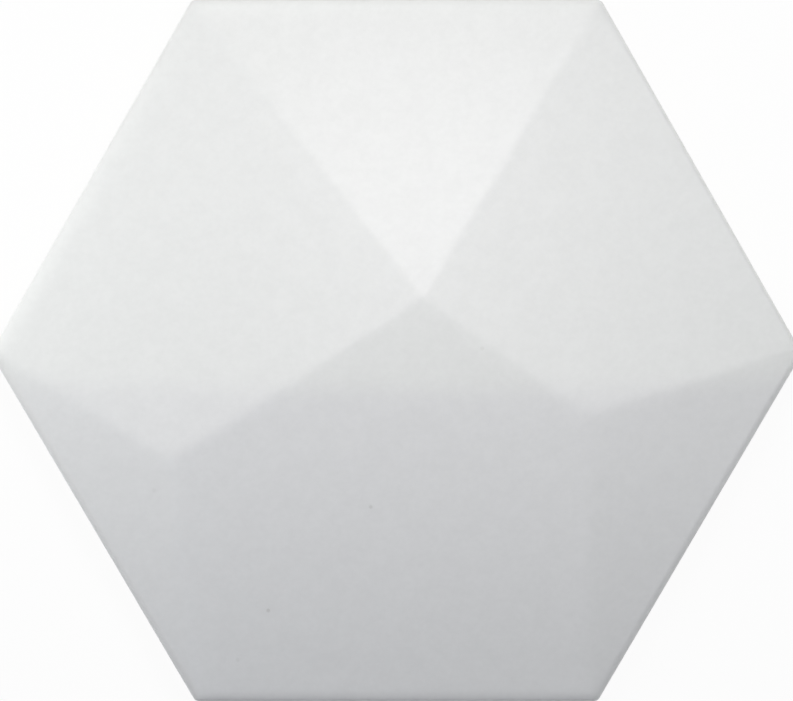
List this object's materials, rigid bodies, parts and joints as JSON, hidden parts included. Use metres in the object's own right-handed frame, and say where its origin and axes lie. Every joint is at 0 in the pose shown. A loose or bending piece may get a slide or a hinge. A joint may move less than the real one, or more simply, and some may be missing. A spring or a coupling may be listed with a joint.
{
  "type": "hexagon relief wall tile",
  "caption": "Hexagonal glazed ceramic tile whose face rises in flat facets to a low off-centre peak, with soft ridges and a ribbed keying back.",
  "frame": {"origin": "centre of the back, on the plane of the border and ribs that the adhesive bed meets", "axes": "+X to the right corner as the face is seen, corner to corner; +Y to the top side, across the flats; +Z out of the glazed face"},
  "size_m": [0.1232, 0.107, 0.0149],
  "materials": {
    "glaze": "matt"
  },
  "bodies": {
    "root": {"hexagon_tile": "glaze"}
  },
  "joints": []
}
